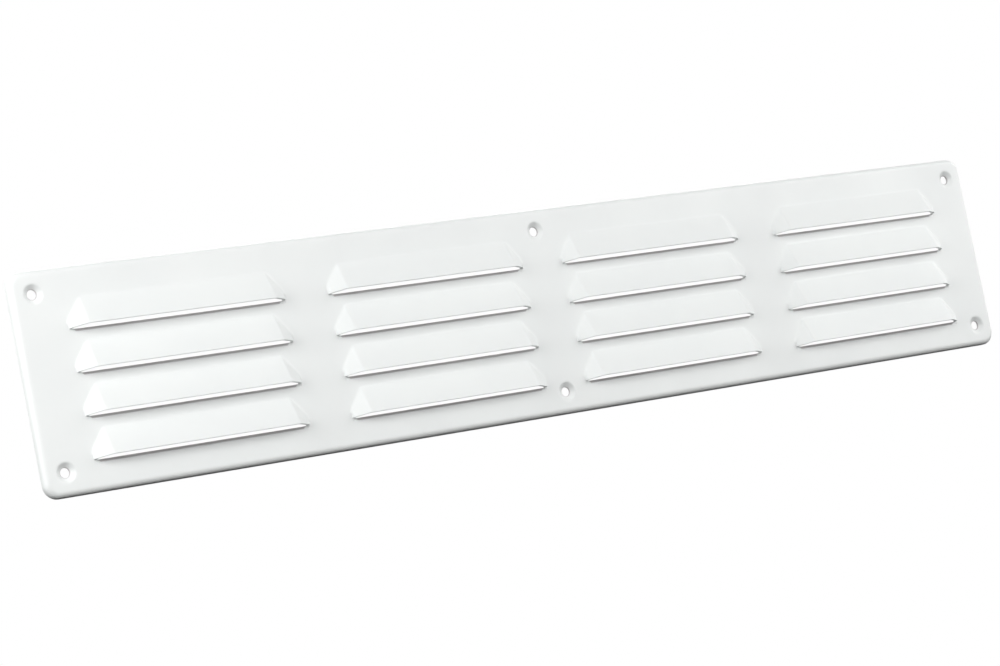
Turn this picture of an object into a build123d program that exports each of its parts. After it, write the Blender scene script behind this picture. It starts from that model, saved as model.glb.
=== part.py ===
from build123d import *

import os
from math import atan2, cos, degrees, floor, hypot, radians, sin

# Louvred ventilation grille pressed from one painted aluminium sheet, in millimetres.
# X runs along the grille, Z is up, the front faces -Y and the wall is the plane Y = 0.
# The sheet is drawn lying down, front face up and length along X, and is stood up at the end.

# Plate with its edge turned back to the wall all round
PLATE_LENGTH = 489.0
PLATE_HEIGHT = 89.0
SHEET = 1.2
EDGE_RETURN = 2.8  # how far the turned edge stands behind the sheet
EDGE_BEND = 1.5  # outside
CORNER_RADIUS = 6.0  # outside, seen from the front

# Louvre hoods, each lanced along its lower edge and pushed out of the sheet
LOUVRE_LENGTH = 96.0
LOUVRE_HEIGHT = 12.2  # from the slit up to the root
LOUVRE_SLOPE = 27.0  # degrees out of the plate
LOUVRE_END_ROUND = 10.0  # length of the domed stretch at each end
LIP_SET_BACK = 10.0  # degrees that the lip leans up from square to the plate
ROOT_BEND_INSIDE = 2.0  # where a hood runs into the front face
COLUMN_GAP = 20.5
ROW_GAP = 5.0
END_MARGIN = 20.0  # least plain sheet beyond the outer louvres, along the plate
SIDE_MARGIN = 12.0  # least plain sheet beyond the outer louvres, across the plate

# Screw holes in conical dimples that are pressed back until they seat on the wall
HOLE_DIAMETER = 4.0
HOLE_INSET = 9.5  # from the plate's edges
DIMPLE_DIAMETER = 8.0

# Sizes that follow from those above
FRONT = EDGE_RETURN + SHEET  # the front face, above the wall plane
BACK = EDGE_RETURN  # the sheet's back face
COLUMN_PITCH = LOUVRE_LENGTH + COLUMN_GAP
ROW_PITCH = LOUVRE_HEIGHT + ROW_GAP
COLUMNS = floor((PLATE_LENGTH - 2 * END_MARGIN + COLUMN_GAP) / COLUMN_PITCH)
ROWS = floor((PLATE_HEIGHT - 2 * SIDE_MARGIN + ROW_GAP) / ROW_PITCH)
SLOPE = radians(LOUVRE_SLOPE)
SKIRT = 2 * (ROOT_BEND_INSIDE + SHEET)  # sheet drawn round a hood, to carry its bends
OVERLAP = SHEET / 2  # how deep solids that are joined reach into each other
REACH = 2 * PLATE_LENGTH  # a block this large takes in everything on its side of a plane

# Each end of a hood's section is an oval quarter of two arcs, the haunch below and the crown above
END_DROP = LOUVRE_HEIGHT * sin(SLOPE)
END_CHORD = hypot(LOUVRE_END_ROUND, END_DROP)
END_EXCESS = LOUVRE_END_ROUND - END_DROP
HAUNCH_RADIUS = END_CHORD * (END_CHORD - END_EXCESS) / (2 * LOUVRE_END_ROUND)
CROWN_RADIUS = END_CHORD * (END_CHORD + END_EXCESS) / (2 * END_DROP)
HAUNCH_TURN = degrees(atan2(CROWN_RADIUS - END_DROP, LOUVRE_END_ROUND - HAUNCH_RADIUS))


def spread(count, pitch):
    """Centres of a row of equally spaced things, about zero."""
    return [(index - (count - 1) / 2) * pitch for index in range(count)]


def flat_tray():
    """The plain plate, hollow behind, with its rounded edge."""
    outside = extrude(RectangleRounded(PLATE_LENGTH, PLATE_HEIGHT, CORNER_RADIUS), FRONT)
    outside = fillet(outside.faces().sort_by(Axis.Z)[-1].edges(), EDGE_BEND)
    hollow_outline = RectangleRounded(
        PLATE_LENGTH - 2 * SHEET,
        PLATE_HEIGHT - 2 * SHEET,
        CORNER_RADIUS - SHEET,
    )
    return outside - extrude(hollow_outline, BACK)


def hood_bar(inset):
    """A long bar with rounded shoulders, lying along a hood's slope.

    With no inset its surface is the hood's outside, and inset by the sheet it is the inside.
    Its slit lies along X at the origin, on the front face, and the hood is on the +Y side.
    """
    slope = Plane(
        origin=(0, LOUVRE_HEIGHT, FRONT),
        x_dir=(1, 0, 0),
        z_dir=(0, -cos(SLOPE), sin(SLOPE)),
    )
    half = LOUVRE_LENGTH / 2
    level = half - LOUVRE_END_ROUND
    side = half - HAUNCH_RADIUS
    foot = -END_DROP - LOUVRE_HEIGHT - SKIRT
    crown = CROWN_RADIUS - inset
    haunch = HAUNCH_RADIUS - inset
    edge = half - inset
    with BuildSketch() as section:
        with BuildLine():
            Line((-level, -inset), (level, -inset))
            CenterArc((level, -CROWN_RADIUS), crown, HAUNCH_TURN, 90 - HAUNCH_TURN)
            CenterArc((side, -END_DROP), haunch, 0, HAUNCH_TURN)
            Polyline((edge, -END_DROP), (edge, foot), (-edge, foot), (-edge, -END_DROP))
            CenterArc((-side, -END_DROP), haunch, 180 - HAUNCH_TURN, HAUNCH_TURN)
            CenterArc((-level, -CROWN_RADIUS), crown, 90, 90 - HAUNCH_TURN)
        make_face()
    return extrude(slope * section.sketch, LOUVRE_HEIGHT + SKIRT, both=True)


def edges_round_hood(solid, level):
    """The edges where a hood's bar meets a flat face at this level, but not that face's outline."""
    limit = LOUVRE_LENGTH / 2 + SHEET
    chosen = []
    for edge in solid.edges():
        box = edge.bounding_box()
        on_level = abs(box.min.Z - level) < 0.001 and abs(box.max.Z - level) < 0.001
        if on_level and -limit < box.min.X and box.max.X < limit:
            chosen.append(edge)
    return chosen


def above(level):
    """Everything over a level."""
    return Pos(0, 0, level) * Box(REACH, REACH, REACH, align=(Align.CENTER, Align.CENTER, Align.MIN))


def skirt_block(bottom, top):
    """A block of the size of a hood and the sheet round it."""
    centre = Pos(0, LOUVRE_HEIGHT / 2, bottom)
    size = (LOUVRE_LENGTH + 2 * SKIRT, LOUVRE_HEIGHT + 2 * SKIRT, top - bottom)
    return centre * Box(*size, align=(Align.CENTER, Align.CENTER, Align.MIN))


def hood_outside():
    """The solid under a hood's outer surface, with the bend at its root, cut off at its lip."""
    lean = radians(LIP_SET_BACK)
    lip = Plane(origin=(0, 0, FRONT), x_dir=(1, 0, 0), z_dir=(0, -cos(lean), sin(lean)))
    hood = split(hood_bar(0), bisect_by=lip, keep=Keep.BOTTOM)
    pressed = skirt_block(FRONT - OVERLAP, FRONT) + (hood & above(FRONT - OVERLAP))
    pressed = fillet(edges_round_hood(pressed, FRONT), ROOT_BEND_INSIDE)
    below_slit = Box(REACH, REACH, REACH, align=(Align.CENTER, Align.MAX, Align.MIN))
    return pressed - Pos(0, 0, FRONT) * below_slit


def hood_inside():
    """The space under a hood, open at the slit, with its mouth bent round like the root."""
    hollow = skirt_block(BACK - OVERLAP, BACK) + (hood_bar(SHEET) & above(BACK - OVERLAP))
    hollow = fillet(edges_round_hood(hollow, BACK), ROOT_BEND_INSIDE + SHEET)
    over_slit = Box(REACH, REACH, REACH, align=(Align.CENTER, Align.MIN, Align.CENTER))
    return hollow & over_slit & above(BACK)


def louvre_places():
    """Where each louvre's slit is centred. The field of louvres is centred on the plate."""
    lowest_slit = -((ROWS - 1) * ROW_PITCH + LOUVRE_HEIGHT) / 2
    return [
        Pos(x, lowest_slit + row * ROW_PITCH, 0)
        for row in range(ROWS)
        for x in spread(COLUMNS, COLUMN_PITCH)
    ]


def screw_places():
    """A screw near each corner, and a pair in the gap between louvres nearest the middle."""
    corner = PLATE_LENGTH / 2 - HOLE_INSET
    edge = PLATE_HEIGHT / 2 - HOLE_INSET
    gaps = spread(COLUMNS - 1, COLUMN_PITCH)
    nearest = min((abs(x) for x in gaps), default=0)
    middle = [x for x in gaps if abs(x) < nearest + SHEET]
    return [Pos(x, y, 0) for x in (-corner, *middle, corner) for y in (-edge, edge)]


def turned(*points):
    """A solid of revolution about Z from the corners of half its section, as radius and height."""
    return revolve(Plane.XZ * make_face(Polyline(*points, close=True)), Axis.Z)


def dimple_radius(height):
    """Radius of a dimple's front cone at a height above the wall."""
    hole = HOLE_DIAMETER / 2
    return hole + (DIMPLE_DIAMETER / 2 - hole) * (height - SHEET) / (FRONT - SHEET)


def dimple_back():
    """The boss that a dimple raises on the back, one sheet thick round its cone."""
    flare = dimple_radius(1) - dimple_radius(0)
    wall = SHEET * hypot(1, flare)
    top = BACK + OVERLAP
    return turned(
        (0, 0),
        (dimple_radius(0) + wall, 0),
        (dimple_radius(BACK) + wall, BACK),
        (dimple_radius(BACK) + wall, top),
        (0, top),
    )


def dimple_front():
    """The screw hole and the cone that seats the screw's head."""
    hole = HOLE_DIAMETER / 2
    over = FRONT + SHEET
    return turned((0, -SHEET), (hole, -SHEET), (hole, SHEET), (dimple_radius(over), over), (0, over))


def copies(solid, places):
    """A copy of a solid at each place."""
    return [place * solid for place in places]


def louvre_plate():
    """The whole grille, drawn lying down."""
    plate = flat_tray()
    plate += copies(hood_outside(), louvre_places()) + copies(dimple_back(), screw_places())
    return plate - (copies(hood_inside(), louvre_places()) + copies(dimple_front(), screw_places()))


os.makedirs("parts", exist_ok=True)
grille = Rot(90, 0, 0) * louvre_plate()
grille.label = "louvre_plate"
export_step(grille, "parts/louvre_plate.step")
print(f"{grille.label}: {COLUMNS} columns and {ROWS} rows of louvres, {len(screw_places())} screw holes")
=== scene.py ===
"""A louvred ventilation grille, pressed from one sheet of aluminium and powder coated white.

The plate's sizes are in millimetres until a mesh is finished, and the studio's are in metres. A
point of the sheet is given as how far it lies along the plate, up the plate and out from the wall.
Along is X, up is Z and out is -Y.
"""

import logging
import math
from collections.abc import Sequence
from dataclasses import dataclass, field
from enum import Enum
from itertools import pairwise

import bmesh
import bpy
from mathutils import Matrix, Vector
from mathutils.geometry import delaunay_2d_cdt


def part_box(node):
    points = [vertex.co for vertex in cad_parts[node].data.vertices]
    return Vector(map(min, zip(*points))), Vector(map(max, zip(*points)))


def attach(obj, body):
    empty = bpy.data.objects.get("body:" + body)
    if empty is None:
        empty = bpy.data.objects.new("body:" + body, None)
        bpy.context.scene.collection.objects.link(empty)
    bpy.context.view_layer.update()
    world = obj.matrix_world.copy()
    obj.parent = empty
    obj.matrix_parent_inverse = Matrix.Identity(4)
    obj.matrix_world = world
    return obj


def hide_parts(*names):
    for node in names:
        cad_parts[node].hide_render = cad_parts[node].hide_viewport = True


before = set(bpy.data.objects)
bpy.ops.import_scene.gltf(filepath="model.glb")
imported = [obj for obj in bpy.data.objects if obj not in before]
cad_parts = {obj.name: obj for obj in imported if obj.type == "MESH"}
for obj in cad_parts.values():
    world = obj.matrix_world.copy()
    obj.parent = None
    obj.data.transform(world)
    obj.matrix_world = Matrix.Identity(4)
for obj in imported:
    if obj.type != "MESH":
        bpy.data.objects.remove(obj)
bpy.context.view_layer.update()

LOG = logging.getLogger("louvred_grille")
NODE = "louvre_plate"
BODY = "root"

MM = 0.001  # in metres
QUARTER_TURN = math.pi / 2
WELD = 0.001  # points nearer than this are one point, in millimetres
FLAT_RIM = 0.4  # strip of flat sheet kept beside every bend, so that its shading stays flat
SMOOTH_BELOW = 30.0  # degrees: edges that turn less than this are shaded round
EDGE_SHADE = "painted_edge_shade"  # point attribute: 1 on cut edges, where shade is painted into the coat's colour
WITHOUT_HOLES = 2  # kind of triangulation that leaves holes open

Colour = tuple[float, float, float]
Place = tuple[float, float, float]

WHITE: Colour = (1.0, 1.0, 1.0)


class Facing(Enum):
    """Which way a flat stretch of the sheet faces."""

    FRONT = "front"
    BACK = "back"
    UP = "up"


def on_sheet(along: float, up: float, out: float) -> Vector:
    """A point from its distances along the plate, up the plate and out from the wall."""
    return Vector((along, -out, up))


def spaced(start: float, end: float, steps: int) -> list[float]:
    """Values at equal steps from a start to an end, with both."""
    return [start + (end - start) * step / steps for step in range(steps + 1)]


def turn_between(start: Vector, end: Vector, steps: int) -> list[Vector]:
    """Unit vectors that turn evenly from one direction to another.

    Args:
        start: First direction, of unit length.
        end: Last direction, of unit length.
        steps: Number of equal turns between them.

    Returns:
        The directions, with both ends.
    """
    return [start.slerp(end, share) for share in spaced(0.0, 1.0, steps)]


class SheetMesh:
    """A mesh of part of the sheet in the making."""

    def __init__(self) -> None:
        """Start with no points."""
        self.bm = bmesh.new()
        self.edge_shade = self.bm.verts.layers.float.new(EDGE_SHADE)

    def point(self, place: Vector, edge_shade: float = 0.0) -> bmesh.types.BMVert:
        """Add a point.

        Args:
            place: Where it lies, in millimetres.
            edge_shade: How much painted shade the point gets, 0 to 1.

        Returns:
            The new point.
        """
        made = self.bm.verts.new(place)
        made[self.edge_shade] = edge_shade
        return made

    def skin(
        self,
        rows: Sequence[Sequence[Vector]],
        edge_shade: Sequence[Sequence[float]] = (),
        closed: bool = False,
    ) -> None:
        """Lay quads between neighbouring rows of points.

        Seen from outside the sheet, the rows follow each other to the right and each runs down.

        Args:
            rows: Rows with the same number of points.
            edge_shade: How much painted shade each point of each row gets, none if left out.
            closed: Whether the last row is joined to the first.
        """
        weights = edge_shade or [[0.0] * len(row) for row in rows]
        made = [list(map(self.point, row, coats)) for row, coats in zip(rows, weights)]
        if closed:
            made.append(made[0])
        for left, right in pairwise(made):
            sides = zip(pairwise(left), pairwise(right))
            for (left_top, left_foot), (right_top, right_foot) in sides:
                self.bm.faces.new((left_top, left_foot, right_foot, right_top))

    def fill(
        self,
        outline: Sequence[Vector],
        holes: Sequence[Sequence[Vector]],
        facing: Facing,
    ) -> None:
        """Cover a flat stretch with triangles, and leave its holes open.

        Args:
            outline: Corners of the stretch, in order.
            holes: Corners of each hole, in order.
            facing: Which way the stretch faces.
        """
        corners: list[bmesh.types.BMVert] = []
        loops: list[list[int]] = []
        for loop in (outline, *holes):
            loops.append(list(range(len(corners), len(corners) + len(loop))))
            corners.extend(self.point(place) for place in loop)
        flat = [
            Vector((corner.co.x, corner.co.y if facing is Facing.UP else corner.co.z))
            for corner in corners
        ]
        _, _, triangles, sources, _, _ = delaunay_2d_cdt(flat, [], loops, WITHOUT_HOLES, WELD)
        for triangle in triangles:
            face = self.bm.faces.new([corners[sources[index][0]] for index in triangle])
            if facing is Facing.BACK:
                face.normal_flip()

    def to_object(self, name: str) -> bpy.types.Object:
        """Weld the points and make an object of the mesh, in metres.

        Args:
            name: Name of the object and of its mesh.

        Returns:
            The new object, at the origin.
        """
        bmesh.ops.remove_doubles(self.bm, verts=self.bm.verts, dist=WELD)
        self.bm.transform(Matrix.Scale(MM, 4))
        mesh = bpy.data.meshes.new(name)
        self.bm.to_mesh(mesh)
        self.bm.free()
        made = bpy.data.objects.new(name, mesh)
        bpy.context.scene.collection.objects.link(made)
        return made


class Wiring:
    """A node tree in the making."""

    def __init__(self, tree: bpy.types.NodeTree) -> None:
        """Work on this tree."""
        self.tree = tree

    def add(self, kind: str, **settings: object) -> bpy.types.Node:
        """Add a node and set its properties.

        Args:
            kind: The node's type name.
            **settings: Properties of the node, by name.

        Returns:
            The new node.
        """
        node = self.tree.nodes.new(kind)
        for name, value in settings.items():
            setattr(node, name, value)
        return node

    def join(self, source: bpy.types.NodeSocket, *targets: bpy.types.NodeSocket) -> None:
        """Lead a socket to one or more others."""
        for target in targets:
            self.tree.links.new(source, target)

    def calculate(self, operation: str, *values: bpy.types.NodeSocket) -> bpy.types.NodeSocket:
        """Work out a value from others.

        Args:
            operation: What a math node does with them.
            *values: Sockets with the values, in order.

        Returns:
            The socket with the result.
        """
        node = self.add("ShaderNodeMath", operation=operation)
        for value, target in zip(values, node.inputs):
            self.join(value, target)
        return node.outputs["Value"]

    def blend(
        self,
        share: bpy.types.NodeSocket,
        first: Colour | bpy.types.NodeSocket,
        second: Colour | bpy.types.NodeSocket,
    ) -> bpy.types.NodeSocket:
        """Blend two colours, each given by itself or by a socket.

        Args:
            share: How much of the second colour is used.
            first: Colour where the share is 0.
            second: Colour where the share is 1.

        Returns:
            The socket with the blended colour.
        """
        node = self.add("ShaderNodeMix", data_type="RGBA")
        self.join(share, node.inputs["Factor"])
        for name, colour in (("A", first), ("B", second)):
            if isinstance(colour, bpy.types.NodeSocket):
                self.join(colour, node.inputs[name])
            else:
                node.inputs[name].default_value = (*colour, 1.0)
        return node.outputs["Result"]

    def choose(
        self,
        share: bpy.types.NodeSocket,
        first: bpy.types.NodeSocket,
        second: bpy.types.NodeSocket,
    ) -> bpy.types.NodeSocket:
        """Blend two shaders.

        Args:
            share: How much of the second shader shows.
            first: Shader where the share is 0.
            second: Shader where the share is 1.

        Returns:
            The socket with the blended shader.
        """
        node = self.add("ShaderNodeMixShader")
        for source, target in zip((share, first, second), node.inputs):
            self.join(source, target)
        return node.outputs["Shader"]


def new_material(name: str) -> tuple[bpy.types.Material, Wiring, bpy.types.Node]:
    """Make an empty node material.

    Args:
        name: The material's name.

    Returns:
        The material, its wiring and its output node.
    """
    material = bpy.data.materials.new(name)
    material.use_nodes = True
    material.node_tree.nodes.clear()
    wiring = Wiring(material.node_tree)
    return material, wiring, wiring.add("ShaderNodeOutputMaterial")


@dataclass(frozen=True)
class FineGrain:
    """Slight unevenness of a sprayed surface: broad cloudiness and a fine orange peel."""

    name: str = "fine_grain"
    cloud_range: tuple[float, float] = (0.35, 0.65)  # noise levels that are spread to 0 and 1
    cloud_detail: float = 3.0
    peel_detail: float = 1.0

    def group(self) -> bpy.types.NodeTree:
        """The shader group with this effect, made on its first use.

        Returns:
            A group that takes a position and two scales and gives Cloud and Peel, each 0 to 1.
        """
        if self.name in bpy.data.node_groups:
            return bpy.data.node_groups[self.name]
        tree = bpy.data.node_groups.new(self.name, "ShaderNodeTree")
        tree.interface.new_socket("Position", in_out="INPUT", socket_type="NodeSocketVector")
        for scale in ("Cloud Scale", "Peel Scale"):
            tree.interface.new_socket(scale, in_out="INPUT", socket_type="NodeSocketFloat")
        for mask in ("Cloud", "Peel"):
            tree.interface.new_socket(mask, in_out="OUTPUT", socket_type="NodeSocketFloat")
        wiring = Wiring(tree)
        given = wiring.add("NodeGroupInput").outputs
        result = wiring.add("NodeGroupOutput").inputs
        cloud = wiring.add("ShaderNodeTexNoise")
        cloud.inputs["Detail"].default_value = self.cloud_detail
        spread = wiring.add("ShaderNodeMapRange")
        low, high = self.cloud_range
        spread.inputs["From Min"].default_value = low
        spread.inputs["From Max"].default_value = high
        peel = wiring.add("ShaderNodeTexNoise")
        peel.inputs["Detail"].default_value = self.peel_detail
        wiring.join(given["Position"], cloud.inputs["Vector"], peel.inputs["Vector"])
        wiring.join(given["Cloud Scale"], cloud.inputs["Scale"])
        wiring.join(given["Peel Scale"], peel.inputs["Scale"])
        wiring.join(cloud.outputs["Fac"], spread.inputs["Value"])
        wiring.join(spread.outputs["Result"], result["Cloud"])
        wiring.join(peel.outputs["Fac"], result["Peel"])
        return tree

    def place(
        self, wiring: Wiring, cloud_scale: float, peel_scale: float
    ) -> bpy.types.bpy_prop_collection:
        """Put the group in a material, on Object coordinates.

        Args:
            wiring: The material's wiring.
            cloud_scale: Patches of cloudiness in a metre.
            peel_scale: Ripples of orange peel in a metre.

        Returns:
            The group's outputs.
        """
        where = wiring.add("ShaderNodeTexCoord")
        grain = wiring.add("ShaderNodeGroup", node_tree=self.group())
        grain.inputs["Cloud Scale"].default_value = cloud_scale
        grain.inputs["Peel Scale"].default_value = peel_scale
        wiring.join(where.outputs["Object"], grain.inputs["Position"])
        return grain.outputs


@dataclass(frozen=True)
class PowderCoat:
    """Satin white powder coat, a little cloudy, with painted shade on its cut edges."""

    colour: Colour = (0.845, 0.865, 0.855)
    cloud_colour: Colour = (0.825, 0.845, 0.838)
    # painted shade: the colour that cut edges are darkened to, standing in for the shadow below
    # each lip and inside each screw hole
    edge_shade_colour: Colour = (0.58, 0.55, 0.56)
    roughness: tuple[float, float] = (0.36, 0.44)
    cloud_scale: float = 28.0
    peel_scale: float = 850.0
    peel_height: float = 0.000012  # metres
    peel_strength: float = 0.35

    def material(self) -> bpy.types.Material:
        """The coat's material.

        Returns:
            A new material.
        """
        material, wiring, output = new_material("satin_white_coat")
        grain = FineGrain().place(wiring, self.cloud_scale, self.peel_scale)
        coat = wiring.add("ShaderNodeBsdfPrincipled")
        edge_shade = wiring.add("ShaderNodeAttribute", attribute_name=EDGE_SHADE)
        tint = wiring.blend(grain["Cloud"], self.colour, self.cloud_colour)
        # painted shade: darken the cut edges by the edge attribute
        tint = wiring.blend(edge_shade.outputs["Fac"], tint, self.edge_shade_colour)
        wiring.join(tint, coat.inputs["Base Color"])
        gloss = wiring.add("ShaderNodeMapRange")
        smoothest, roughest = self.roughness
        gloss.inputs["To Min"].default_value = smoothest
        gloss.inputs["To Max"].default_value = roughest
        wiring.join(grain["Cloud"], gloss.inputs["Value"])
        wiring.join(gloss.outputs["Result"], coat.inputs["Roughness"])
        bump = wiring.add("ShaderNodeBump")
        bump.inputs["Strength"].default_value = self.peel_strength
        bump.inputs["Distance"].default_value = self.peel_height
        wiring.join(grain["Peel"], bump.inputs["Height"])
        wiring.join(bump.outputs["Normal"], coat.inputs["Normal"])
        wiring.join(coat.outputs["BSDF"], output.inputs["Surface"])
        return material


@dataclass(frozen=True)
class PaperFloor:
    """Pale studio paper that whitens into the distance.

    It throws little light back on the plate, and a camera below it looks through it.
    """

    colour: Colour = (0.86, 0.86, 0.86)
    cloud_colour: Colour = (0.85, 0.85, 0.85)
    bounce: Colour = (0.10, 0.10, 0.10)  # colour that every ray but the camera's meets
    glow: float = 0.45  # white added for the camera alone, which leaves the shadows
    glow_grows_from: float = 0.35  # metres from the middle
    white_from: float = 1.0  # metres from the middle, past which nothing else is seen
    cloud_scale: float = 6.0
    peel_scale: float = 500.0

    def material(self) -> bpy.types.Material:
        """The floor's material.

        Returns:
            A new material.
        """
        material, wiring, output = new_material("studio_paper")
        grain = FineGrain().place(wiring, self.cloud_scale, self.peel_scale)
        seen = wiring.add("ShaderNodeLightPath").outputs["Is Camera Ray"]
        tint = wiring.blend(grain["Cloud"], self.colour, self.cloud_colour)
        paper = wiring.add("ShaderNodeBsdfDiffuse")
        wiring.join(wiring.blend(seen, self.bounce, tint), paper.inputs["Color"])

        where = wiring.add("ShaderNodeTexCoord")
        distance = wiring.add("ShaderNodeVectorMath", operation="LENGTH")
        wiring.join(where.outputs["Object"], distance.inputs["Vector"])
        glow = wiring.add("ShaderNodeMapRange", interpolation_type="SMOOTHSTEP")
        glow.inputs["From Min"].default_value = self.glow_grows_from
        glow.inputs["From Max"].default_value = self.white_from
        glow.inputs["To Min"].default_value = self.glow
        wiring.join(distance.outputs["Value"], glow.inputs["Value"])
        white = wiring.add("ShaderNodeEmission")
        share = wiring.calculate("MULTIPLY", seen, glow.outputs["Result"])
        pale = wiring.choose(share, paper.outputs["BSDF"], white.outputs["Emission"])

        side = wiring.add("ShaderNodeNewGeometry")
        from_below = wiring.calculate("MULTIPLY", seen, side.outputs["Backfacing"])
        clear = wiring.add("ShaderNodeBsdfTransparent")
        shown = wiring.choose(from_below, pale, clear.outputs["BSDF"])
        wiring.join(shown, output.inputs["Surface"])
        return material


@dataclass(frozen=True)
class Sheet:
    """The sheet that everything is pressed from, and how far its edge stands behind it."""

    thickness: float = 1.2
    edge_return: float = 2.8

    @property
    def front(self) -> float:
        """How far the front face stands out from the wall."""
        return self.edge_return + self.thickness

    @property
    def back(self) -> float:
        """How far the back face stands out from the wall."""
        return self.edge_return


@dataclass(frozen=True)
class Station:
    """One cut across a hood.

    Attributes:
        along: Distance from the hood's middle.
        fall: How far its outside has dropped there, square to the slope.
        normal: Unit vector out of its outside, as along, up and out.
    """

    along: float
    fall: float
    normal: Vector

    def towards(self, other: "Station", share: float) -> "Station":
        """A cut between this one and another on the same flat face."""
        along = self.along + (other.along - self.along) * share
        return Station(along, self.fall + (other.fall - self.fall) * share, self.normal)

    def mirrored(self) -> "Station":
        """The same cut at the hood's other end."""
        normal = Vector((-self.normal.x, self.normal.y, self.normal.z))
        return Station(-self.along, self.fall, normal)


@dataclass(frozen=True)
class HoodSection:
    """The sheet's section at one station.

    Attributes:
        outside: From the plain front face over the root bend and down the slope to the lip.
        inside: From the lip's inner corner back up and over the bend to the plain back face.
    """

    outside: list[Vector]
    inside: list[Vector]


@dataclass
class LouvreHood:
    """A hood pushed out of the sheet above a slit, with the plain sheet close round it."""

    sheet: Sheet
    length: float = 96.0
    height: float = 12.2  # from the slit up to the root
    slope: float = 27.0  # degrees out of the plate
    end: float = 7.3  # length of each end, from the level slope to the tip
    crown: float = 3.0  # radius where the level slope turns down into an end
    haunch: float = 3.0  # radius where an end turns square to the plate at its tip
    lip_lean: float = 10.0  # degrees that the lip's inner edge leans up from square to the plate
    lip_undercut: float = 4.0  # degrees that its cut face drops from there to its outer edge
    lip_round: float = 0.25
    lip_round_share: float = 0.3  # most of the hood's rise that the lip's rounding takes
    root_bend: float = 2.0  # inside radius, on the front
    root_bend_share: float = 0.5  # most of the hood's rise that the bend takes
    slit_round: float = 1.3  # how far below the slit the shears drew the sheet down
    slit_depth: float = 1.0  # and how deep, at its edge
    slit_run_out: float = 1.5  # how far from its ends that rounding begins to fade
    border_ends: float = 3.0  # plain sheet that belongs to a hood, beyond its tips
    border_below: float = 2.2
    border_above: float = 2.0
    level_steps: int = 8
    crown_steps: int = 7
    face_steps: int = 4
    haunch_steps: int = 12
    bend_steps: int = 6
    lip_steps: int = 9
    slit_steps: int = 6

    def __post_init__(self) -> None:
        """Work out the slope, the lip and how far a flat end face turns from the plate's length."""
        slope = math.radians(self.slope)
        lean = math.radians(self.lip_lean)
        undercut = math.radians(self.lip_undercut)
        self.rise = math.sin(slope)
        self.run = math.cos(slope)
        self.down_slope = Vector((0.0, -self.run, self.rise))
        self.lip_normal = Vector((0.0, -math.cos(lean), math.sin(lean)))
        self.cut_normal = Vector((0.0, -math.cos(undercut), -math.sin(undercut)))
        self.drop = self.height * self.rise
        arcs_along = self.end - self.haunch
        arcs_down = self.drop - self.crown
        tangent = math.acos((self.crown - self.haunch) / math.hypot(arcs_along, arcs_down))
        self.haunch_turn = tangent - math.atan2(arcs_down, arcs_along)

    def place(self, point: Vector) -> Vector:
        """A point given as along, up from the slit and out from the front face, on the sheet."""
        return on_sheet(point.x, point.y - self.height / 2, point.z + self.sheet.front)

    def arc_station(self, along: float, depth: float, radius: float, angle: float) -> Station:
        """A cut on one of the arcs of the right-hand end.

        Args:
            along: Where the arc's centre lies, from the hood's middle.
            depth: How deep the arc's centre lies below the level slope.
            radius: The arc's radius.
            angle: Place on the arc, up from the plate's length, in radians.

        Returns:
            The cut.
        """
        rise = math.sin(angle)
        normal = Vector((math.cos(angle), rise * self.rise, rise * self.run))
        return Station(along + radius * math.cos(angle), depth - radius * rise, normal)

    def stations(self) -> list[Station]:
        """Cuts across the hood.

        Returns:
            Stations from the left-hand tip to the right-hand tip.
        """
        level = self.length / 2 - self.end
        side = self.length / 2 - self.haunch
        crown = [
            self.arc_station(level, self.crown, self.crown, angle)
            for angle in spaced(QUARTER_TURN, self.haunch_turn, self.crown_steps)
        ]
        haunch = [
            self.arc_station(side, self.drop, self.haunch, angle)
            for angle in spaced(self.haunch_turn, 0.0, self.haunch_steps)
        ]
        face = [
            crown[-1].towards(haunch[0], share)
            for share in spaced(0.0, 1.0, self.face_steps)[1:-1]
        ]
        end = crown + face + haunch
        middle = [
            Station(along, 0.0, end[0].normal)
            for along in spaced(-level, level, self.level_steps)[1:-1]
        ]
        return [station.mirrored() for station in reversed(end)] + middle + end

    def section(self, station: Station) -> HoodSection:
        """The sheet's section at a station, bent round balls that touch it.

        Args:
            station: Where the hood is cut.

        Returns:
            Points of the section, on the sheet.
        """
        normal = station.normal
        out = Vector((0.0, 0.0, 1.0))
        thickness = self.sheet.thickness
        root = Vector((station.along, self.height - station.fall / self.rise, 0.0))
        inner_root = root - normal * thickness
        inner_reach = -self.lip_normal.dot(inner_root) / self.lip_normal.dot(self.down_slope)
        to_cut = self.cut_normal.dot(self.down_slope)
        reach = inner_reach - thickness * self.cut_normal.dot(normal) / to_cut
        bend = min(self.root_bend, self.root_bend_share * reach * self.rise / (1 - normal.z))
        nose = min(self.lip_round, self.lip_round_share * reach * self.rise)

        foot = root + self.down_slope * (bend * (1 - normal.z) / self.rise)
        bend_centre = foot + normal * bend
        turns = turn_between(out, normal, self.bend_steps)
        plain = Vector((normal.x, normal.y, 0.0)).normalized() * FLAT_RIM

        nose_reach = reach - nose * (1 - self.cut_normal.dot(normal)) / to_cut
        nose_centre = root + self.down_slope * nose_reach - normal * nose
        outside = [bend_centre - turn * bend for turn in turns]
        outside.insert(0, outside[0] + plain)
        outside += [
            nose_centre + turn * nose
            for turn in turn_between(normal, self.cut_normal, self.lip_steps)
        ]

        inside = [inner_root + self.down_slope * inner_reach]
        inside += [bend_centre - turn * (bend + thickness) for turn in reversed(turns)]
        inside.append(inside[-1] + plain)
        return HoodSection(
            [self.place(point) for point in outside], [self.place(point) for point in inside]
        )

    def border(self, out: float) -> list[Vector]:
        """Corners of the plain sheet that belongs to a hood.

        Args:
            out: Distance out from the wall.

        Returns:
            The corners, anticlockwise from the front.
        """
        side = self.length / 2 + self.border_ends
        foot = -self.height / 2 - self.border_below
        top = self.height / 2 + self.border_above
        corners = ((-side, foot), (side, foot), (side, top), (-side, top))
        return [on_sheet(along, up, out) for along, up in corners]

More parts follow.
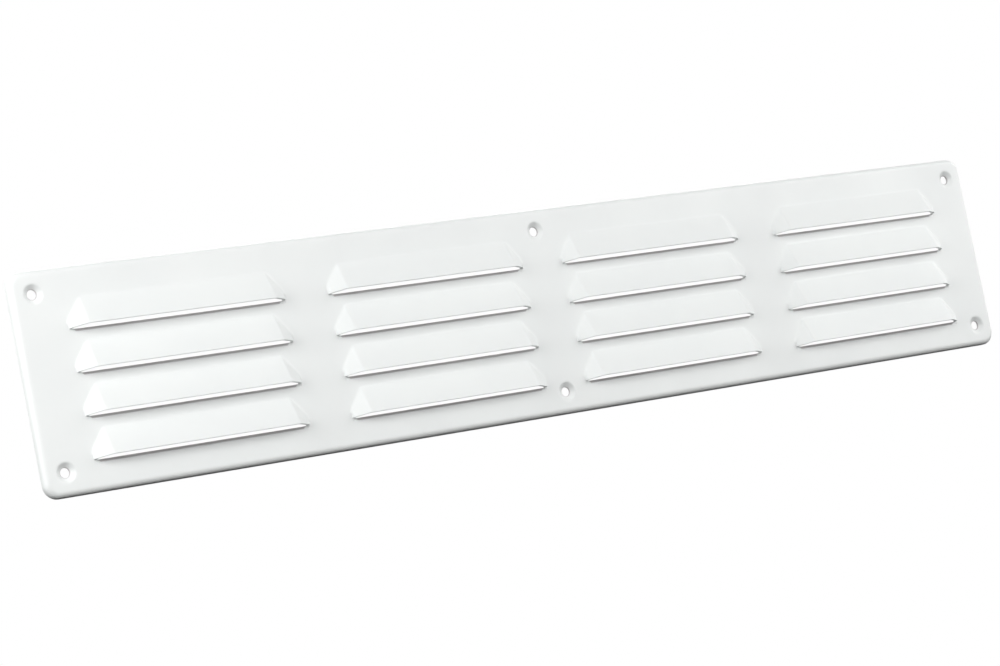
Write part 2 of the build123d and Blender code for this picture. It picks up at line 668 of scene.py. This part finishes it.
    def slit_edge(self, start: Vector, end: Vector) -> tuple[list[list[Vector]], list[list[float]]]:
        """The rounded front edge of the sheet below the slit, which fades out at its ends.

        Args:
            start: Left-hand end of the slit, on the front face.
            end: Right-hand end.

        Returns:
            Rows of points from left to right, each from the cut face down the front, and how much
            painted shade each point gets.
        """
        span = (end - start).length
        fade = spaced(0.0, self.slit_run_out, self.slit_steps)
        places = fade + spaced(0.0, span, self.level_steps)[1:-1]
        places += [span - place for place in reversed(fade)]
        rows: list[list[Vector]] = []
        edge_shade: list[list[float]] = []
        for place in places:
            share = min(1.0, place / self.slit_run_out, (span - place) / self.slit_run_out)
            corner = start.lerp(end, place / span)
            row = []
            for turn in spaced(0.0, QUARTER_TURN, self.slit_steps):
                down = self.slit_round * share * (1 - math.cos(turn))
                back = self.slit_depth * share * (1 - math.sin(turn))
                row.append(corner - on_sheet(0.0, down, back))
            row.append(corner - on_sheet(0.0, FLAT_RIM + self.slit_round, 0.0))
            rows.append(row)
            # painted shade on the rounded edge below the slit, fading out towards the slit's ends
            edge_shade.append([share] * self.slit_steps + [0.0, 0.0])
        return rows, edge_shade

    def build(self, name: str) -> bpy.types.Object:
        """Make the hood, its slit and the plain sheet round it.

        Args:
            name: Name for the object.

        Returns:
            An object whose middle is the hood's middle.
        """
        mesh = SheetMesh()
        sections = [self.section(station) for station in self.stations()]
        left, right = sections[0], sections[-1]
        mesh.skin([section.outside + section.inside for section in sections])
        slit, slit_shade = self.slit_edge(left.inside[0], right.inside[0])
        cut_face = [row[0] for row in slit] + right.inside[1:-1] + left.inside[-2:0:-1]
        mesh.fill(cut_face, [], Facing.UP)
        mesh.skin(slit, slit_shade)

        left_of_slit = [*left.outside[:2], left.inside[0]]
        right_of_slit = [right.inside[0], *right.outside[1::-1]]
        behind_slit = [right.inside[-1], right.inside[-2], left.inside[-2], left.inside[-1]]
        below = on_sheet(0.0, -FLAT_RIM - self.slit_round, 0.0)
        for strip in (left_of_slit, right_of_slit, behind_slit):
            mesh.skin([[point, point + below] for point in strip])
        front_hole = [section.outside[0] for section in sections]
        front_hole += [point + below for point in reversed(right_of_slit)]
        front_hole += [row[-1] for row in reversed(slit[1:-1])]
        front_hole += [point + below for point in reversed(left_of_slit)]
        back_hole = [section.inside[-1] for section in sections]
        back_hole += [point + below for point in behind_slit]
        mesh.fill(self.border(self.sheet.front), [front_hole], Facing.FRONT)
        mesh.fill(self.border(self.sheet.back), [back_hole], Facing.BACK)
        return mesh.to_object(name)


@dataclass
class ScrewDimple:
    """A screw hole in a soft conical dimple, pressed back until it seats on the wall."""

    sheet: Sheet
    hole_diameter: float = 4.0
    diameter: float = 8.0  # of the cone, where it would meet the front face
    shoulder: float = 1.6  # radius where the cone leaves the front face
    hole_front: float = 2.4  # how far the hole's front stands out from the wall
    hole_edge: float = 0.5  # height of the hole's straight wall
    rim: float = 0.35  # ring round the hole, over which the painted shade of the hole's wall fades out
    relief: float = 1.5  # how much wider the hole's radius is at the wall
    seat: float = 0.35  # width of the ring that seats on the wall
    segments: int = 48
    shoulder_steps: int = 6

    def profile(self) -> list[tuple[float, float]]:
        """Half the dimple's section.

        Returns:
            Radius and distance out from the wall, from the plain front to the plain back.
        """
        sheet = self.sheet
        hole = self.hole_diameter / 2
        mouth = self.diameter / 2
        fall = (sheet.front - self.hole_front) / (mouth - hole)
        turn = math.atan(fall)
        middle = Vector((mouth + self.shoulder * math.tan(turn / 2), sheet.front - self.shoulder))
        made = [(middle.x + FLAT_RIM, sheet.front)]
        for angle in spaced(0.0, turn, self.shoulder_steps):
            arm = Vector((-math.sin(angle), math.cos(angle)))
            made.append(tuple(middle + self.shoulder * arm))
        made.append((hole + self.rim, self.hole_front + self.rim * fall))
        made += [(hole, self.hole_front), (hole, self.hole_front - self.hole_edge)]
        relief = hole + self.relief
        foot = relief + self.seat
        back = foot + mouth - hole
        made += [(relief, 0.0), (foot, 0.0), (back, sheet.back), (back + FLAT_RIM, sheet.back)]
        return made

    def ring(self, radius: float, out: float) -> list[Vector]:
        """Points round the dimple, clockwise from the front.

        Args:
            radius: Distance from the hole's middle.
            out: Distance out from the wall.

        Returns:
            The points, about the origin.
        """
        return [
            on_sheet(radius * math.cos(angle), -radius * math.sin(angle), out)
            for angle in spaced(0.0, 2 * math.pi, self.segments)[:-1]
        ]

    def build(self, name: str) -> bpy.types.Object:
        """Make the dimple.

        Args:
            name: Name for the object.

        Returns:
            An object whose middle is the hole's middle.
        """
        mesh = SheetMesh()
        profile = self.profile()
        rings = [self.ring(radius, out) for radius, out in profile]
        # painted shade on the hole's wall
        edge_shade = [float(radius <= self.hole_diameter / 2) for radius, _ in profile]
        mesh.skin(list(zip(*rings)), [edge_shade] * self.segments, closed=True)
        return mesh.to_object(name)


@dataclass
class TurnedEdge:
    """The plate's edge, turned back to the wall all round."""

    sheet: Sheet
    length: float
    height: float
    bend: float = 2.4  # outside radius
    corner: float = 6.0  # outside radius, seen from the front
    bend_steps: int = 9
    corner_steps: int = 10

    def profile(self) -> list[tuple[float, float]]:
        """Section of the edge.

        Returns:
            Inset from the plate's outline and distance out from the wall, from front to back.
        """
        sheet = self.sheet
        inner = self.bend - sheet.thickness
        bend_out = sheet.front - self.bend
        turns = spaced(0.0, QUARTER_TURN, self.bend_steps)
        made = [(self.bend + FLAT_RIM, sheet.front)]
        made += [
            (self.bend * (1 - math.sin(turn)), bend_out + self.bend * math.cos(turn))
            for turn in turns
        ]
        made += [(0.0, 0.0), (sheet.thickness, 0.0)]
        made += [
            (self.bend - inner * math.sin(turn), bend_out + inner * math.cos(turn))
            for turn in reversed(turns)
        ]
        made.append((self.bend + FLAT_RIM, sheet.back))
        return made

    def loop(self, inset: float, out: float) -> list[Vector]:
        """Points round the plate, anticlockwise from the front.

        Args:
            inset: Distance in from the plate's outline.
            out: Distance out from the wall.

        Returns:
            The points, with rounded corners.
        """
        radius = self.corner - inset
        half_length = self.length / 2 - self.corner
        half_height = self.height / 2 - self.corner
        made = []
        for quarter, (along_side, up_side) in enumerate(((1, 1), (-1, 1), (-1, -1), (1, -1))):
            for share in spaced(0.0, 1.0, self.corner_steps):
                angle = QUARTER_TURN * (quarter + share)
                along = along_side * half_length + radius * math.cos(angle)
                up = up_side * half_height + radius * math.sin(angle)
                made.append(on_sheet(along, up, out))
        return made

    def skin_onto(self, mesh: SheetMesh) -> None:
        """Add the edge to a mesh."""
        loops = [self.loop(inset, out) for inset, out in self.profile()]
        mesh.skin(list(zip(*loops)), closed=True)


@dataclass
class PressTree:
    """Geometry Nodes that set a grid of louvres and a grid of dimples into a plate."""

    name: str = "press_louvres_and_dimples"
    features: tuple[str, ...] = ("Louvre", "Dimple")
    sockets: dict[str, str] = field(default_factory=dict)

    def build(self) -> bpy.types.NodeTree:
        """Make the tree.

        Returns:
            The tree, with the identifier of each input kept in sockets.
        """
        tree = bpy.data.node_groups.new(self.name, "GeometryNodeTree")
        tree.interface.new_socket("Geometry", in_out="OUTPUT", socket_type="NodeSocketGeometry")
        tree.interface.new_socket("Geometry", in_out="INPUT", socket_type="NodeSocketGeometry")
        kinds = {"Weld Distance": "NodeSocketFloat", "Coat": "NodeSocketMaterial"}
        for feature in self.features:
            kinds[feature] = "NodeSocketObject"
            kinds[f"{feature} Columns"] = kinds[f"{feature} Rows"] = "NodeSocketInt"
            kinds[f"{feature} Spread Along"] = kinds[f"{feature} Spread Up"] = "NodeSocketFloat"
        for label, kind in kinds.items():
            made = tree.interface.new_socket(label, in_out="INPUT", socket_type=kind)
            self.sockets[label] = made.identifier
        wiring = Wiring(tree)
        given = wiring.add("NodeGroupInput").outputs
        joined = wiring.add("GeometryNodeJoinGeometry")
        wiring.join(given["Geometry"], joined.inputs["Geometry"])
        for feature in self.features:
            wiring.join(self.grid_of(wiring, given, feature), joined.inputs["Geometry"])
        real = wiring.add("GeometryNodeRealizeInstances")
        welded = wiring.add("GeometryNodeMergeByDistance")
        smooth = wiring.add("GeometryNodeSetShadeSmooth")
        coated = wiring.add("GeometryNodeSetMaterial")
        chain = [joined, real, welded, smooth, coated, wiring.add("NodeGroupOutput")]
        for before, after in pairwise(chain):
            wiring.join(before.outputs["Geometry"], after.inputs["Geometry"])
        wiring.join(given["Weld Distance"], welded.inputs["Distance"])
        wiring.join(given["Coat"], coated.inputs["Material"])
        return tree

    def grid_of(
        self, wiring: Wiring, given: bpy.types.bpy_prop_collection, feature: str
    ) -> bpy.types.NodeSocket:
        """Copies of an object on an upright grid about the plate's middle.

        Args:
            wiring: The tree's wiring.
            given: The tree's inputs.
            feature: What is copied, as the tree's inputs name it.

        Returns:
            The socket with the copies.
        """
        grid = wiring.add("GeometryNodeMeshGrid")
        wiring.join(given[f"{feature} Spread Along"], grid.inputs["Size X"])
        wiring.join(given[f"{feature} Spread Up"], grid.inputs["Size Y"])
        wiring.join(given[f"{feature} Columns"], grid.inputs["Vertices X"])
        wiring.join(given[f"{feature} Rows"], grid.inputs["Vertices Y"])
        upright = wiring.add("GeometryNodeTransform")
        upright.inputs["Rotation"].default_value = (QUARTER_TURN, 0.0, 0.0)
        wiring.join(grid.outputs["Mesh"], upright.inputs["Geometry"])
        source = wiring.add("GeometryNodeObjectInfo")
        wiring.join(given[feature], source.inputs["Object"])
        copies = wiring.add("GeometryNodeInstanceOnPoints")
        wiring.join(upright.outputs["Geometry"], copies.inputs["Points"])
        wiring.join(source.outputs["Geometry"], copies.inputs["Instance"])
        return copies.outputs["Instances"]


@dataclass
class LouvredPlate:
    """The grille: a plate with a turned edge, a field of louvres and a hole for each screw."""

    coat: PowderCoat
    sheet: Sheet
    length: float
    height: float
    columns: int = 4
    rows: int = 4
    column_gap: float = 20.5
    row_gap: float = 5.0
    hole_columns: int = 3
    hole_rows: int = 2
    hole_inset: float = 9.5

    def __post_init__(self) -> None:
        """Make the hood, the dimple and the edge, and space them."""
        self.hood = LouvreHood(self.sheet)
        self.dimple = ScrewDimple(self.sheet)
        self.edge = TurnedEdge(self.sheet, self.length, self.height)
        self.louvre_spread = (
            (self.columns - 1) * (self.hood.length + self.column_gap),
            (self.rows - 1) * (self.hood.height + self.row_gap),
        )
        self.hole_spread = (
            self.length - 2 * self.hole_inset,
            self.height - 2 * self.hole_inset,
        )

    def places(self, columns: int, rows: int, spread: tuple[float, float]) -> list[Vector]:
        """Points of a grid about the plate's middle.

        Args:
            columns: Points along the plate.
            rows: Points up the plate.
            spread: Distance from the first to the last, along and up.

        Returns:
            The points, on the wall plane.
        """
        length, height = spread
        return [
            on_sheet(along, up, 0.0)
            for up in spaced(-height / 2, height / 2, rows - 1)
            for along in spaced(-length / 2, length / 2, columns - 1)
        ]

    def blank(self, name: str) -> bpy.types.Object:
        """Make the plate with openings where the louvres and dimples go.

        Args:
            name: Name for the object.

        Returns:
            The plate.
        """
        mesh = SheetMesh()
        self.edge.skin_onto(mesh)
        edge_profile = self.edge.profile()
        dimple_profile = self.dimple.profile()
        faces = ((Facing.FRONT, 0, self.sheet.front), (Facing.BACK, -1, self.sheet.back))
        for facing, end, out in faces:
            ring = self.dimple.ring(*dimple_profile[end])
            border = self.hood.border(out)
            holes = [
                [place + corner for corner in border]
                for place in self.places(self.columns, self.rows, self.louvre_spread)
            ]
            holes += [
                [place + point for point in ring]
                for place in self.places(self.hole_columns, self.hole_rows, self.hole_spread)
            ]
            mesh.fill(self.edge.loop(*edge_profile[end]), holes, facing)
        return mesh.to_object(name)

    def build(self) -> bpy.types.Object:
        """Press the louvres and dimples into the plate and coat it.

        Returns:
            The finished plate, a plain mesh at the origin.
        """
        plate = self.blank("louvred_plate")
        hood = self.hood.build("louvre_hood")
        dimple = self.dimple.build("screw_dimple")
        press = PressTree()
        modifier = plate.modifiers.new("press", "NODES")
        modifier.node_group = press.build()
        inputs = {
            "Louvre": hood,
            "Louvre Columns": self.columns,
            "Louvre Rows": self.rows,
            "Louvre Spread Along": self.louvre_spread[0] * MM,
            "Louvre Spread Up": self.louvre_spread[1] * MM,
            "Dimple": dimple,
            "Dimple Columns": self.hole_columns,
            "Dimple Rows": self.hole_rows,
            "Dimple Spread Along": self.hole_spread[0] * MM,
            "Dimple Spread Up": self.hole_spread[1] * MM,
            "Weld Distance": WELD * MM,
            "Coat": self.coat.material(),
        }
        for label, value in inputs.items():
            modifier[press.sockets[label]] = value
        graph = bpy.context.evaluated_depsgraph_get()
        pressed = bpy.data.meshes.new_from_object(
            plate.evaluated_get(graph), preserve_all_data_layers=True, depsgraph=graph
        )
        plate.modifiers.clear()
        plate.data = pressed
        pressed.set_sharp_from_angle(angle=math.radians(SMOOTH_BELOW))
        for source in (hood, dimple):
            bpy.data.objects.remove(source)
        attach(plate, BODY)
        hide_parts(NODE)
        return plate


@dataclass(frozen=True)
class Lamp:
    """A soft square lamp aimed at the plate.

    Attributes:
        name: The lamp's name.
        bearing: Degrees round from straight in front, to the right.
        height: Degrees above the plate's middle.
        distance: Metres from the plate's middle.
        size: Width in metres.
        power: Watts.
    """

    name: str
    bearing: float
    height: float
    distance: float
    size: float
    power: float

    def build(self) -> bpy.types.Object:
        """Make the lamp.

        Returns:
            The lamp's object.
        """
        light = bpy.data.lights.new(self.name, "AREA")
        light.size = self.size
        light.energy = self.power
        made = bpy.data.objects.new(self.name, light)
        bearing = math.radians(self.bearing)
        height = math.radians(self.height)
        towards = Vector(
            (
                math.sin(bearing) * math.cos(height),
                -math.cos(bearing) * math.cos(height),
                math.sin(height),
            )
        )
        made.location = towards * self.distance
        made.rotation_euler = towards.to_track_quat("Z", "Y").to_euler()
        bpy.context.scene.collection.objects.link(made)
        return made


@dataclass
class Studio:
    """Floor, lamps, white surroundings and camera."""

    paper: PaperFloor
    floor_level: float
    floor_size: float = 6.0
    ambient: float = 0.02
    lamps: tuple[Lamp, ...] = (
        Lamp("far_left", bearing=-80.0, height=8.0, distance=0.8, size=0.3, power=1.5),
        Lamp("left_key", bearing=-65.0, height=15.0, distance=0.9, size=0.35, power=2.1),
        Lamp("front_left", bearing=-20.0, height=28.0, distance=2.0, size=1.0, power=14.0),
        Lamp("front", bearing=15.0, height=5.0, distance=2.5, size=2.0, power=26.5),
        Lamp("front_right", bearing=52.0, height=14.0, distance=1.6, size=0.9, power=7.8),
        Lamp("right", bearing=75.0, height=10.0, distance=1.2, size=0.8, power=2.8),
        Lamp("behind_left", bearing=-120.0, height=20.0, distance=1.5, size=1.0, power=4.5),
        Lamp("behind_right", bearing=155.0, height=30.0, distance=3.0, size=2.0, power=30.0),
    )
    camera_place: Place = (-0.71287, -1.05394, -0.10573)
    camera_aim: Place = (-0.02788, -0.004, -0.00613)
    camera_roll: float = -11.32  # degrees
    lens: float = 107.27  # millimetres, as is the sensor's width
    sensor: float = 36.0

    def floor(self) -> bpy.types.Object:
        """Lay the floor under the plate.

        Returns:
            The floor.
        """
        half = self.floor_size / 2
        outline = ((-half, -half), (half, -half), (half, half), (-half, half))
        corners = [(x, y, self.floor_level) for x, y in outline]
        mesh = bpy.data.meshes.new("floor")
        mesh.from_pydata(corners, [], [(0, 1, 2, 3)])
        mesh.materials.append(self.paper.material())
        made = bpy.data.objects.new("floor", mesh)
        bpy.context.scene.collection.objects.link(made)
        return made

    def surroundings(self) -> None:
        """Make the world white to look at, and a plain soft light for the rest."""
        world = bpy.data.worlds.new("white_studio")
        world.use_nodes = True
        world.node_tree.nodes.clear()
        wiring = Wiring(world.node_tree)
        ray = wiring.add("ShaderNodeLightPath").outputs
        seen = wiring.calculate("MAXIMUM", ray["Is Camera Ray"], ray["Is Glossy Ray"])
        seen = wiring.calculate("MAXIMUM", seen, ray["Is Transmission Ray"])
        light = wiring.add("ShaderNodeBackground")
        light.inputs["Strength"].default_value = self.ambient
        white = wiring.add("ShaderNodeBackground")
        for background in (light, white):
            background.inputs["Color"].default_value = (*WHITE, 1.0)
        choice = wiring.choose(seen, light.outputs["Background"], white.outputs["Background"])
        output = wiring.add("ShaderNodeOutputWorld")
        wiring.join(choice, output.inputs["Surface"])
        bpy.context.scene.world = world

    def camera(self) -> bpy.types.Object:
        """Set up the camera.

        Returns:
            The camera.
        """
        lens = bpy.data.cameras.new("camera")
        lens.lens = self.lens
        lens.sensor_width = self.sensor
        made = bpy.data.objects.new("camera", lens)
        aim = Vector(self.camera_aim) - Vector(self.camera_place)
        turn = aim.to_track_quat("-Z", "Y").to_matrix()
        turn = turn @ Matrix.Rotation(math.radians(self.camera_roll), 3, "Z")
        made.matrix_world = Matrix.Translation(self.camera_place) @ turn.to_4x4()
        bpy.context.scene.collection.objects.link(made)
        bpy.context.scene.camera = made
        return made

    def build(self) -> None:
        """Set the whole studio up."""
        self.floor()
        self.surroundings()
        for lamp in self.lamps:
            lamp.build()
        self.camera()
        bpy.context.scene.view_settings.view_transform = "Standard"


def main() -> None:
    """Build the grille and its studio, and log the grille's face count."""
    logging.basicConfig(level=logging.INFO, format="%(message)s")
    low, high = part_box(NODE)
    plate = LouvredPlate(PowderCoat(), Sheet(), (high.x - low.x) / MM, (high.z - low.z) / MM)
    pressed = plate.build()
    LOG.info("%s: %d faces", pressed.name, len(pressed.data.polygons))
    Studio(PaperFloor(), low.z).build()
    LOG.info("studio: floor, lamps and camera")


if __name__ == "__main__":
    main()
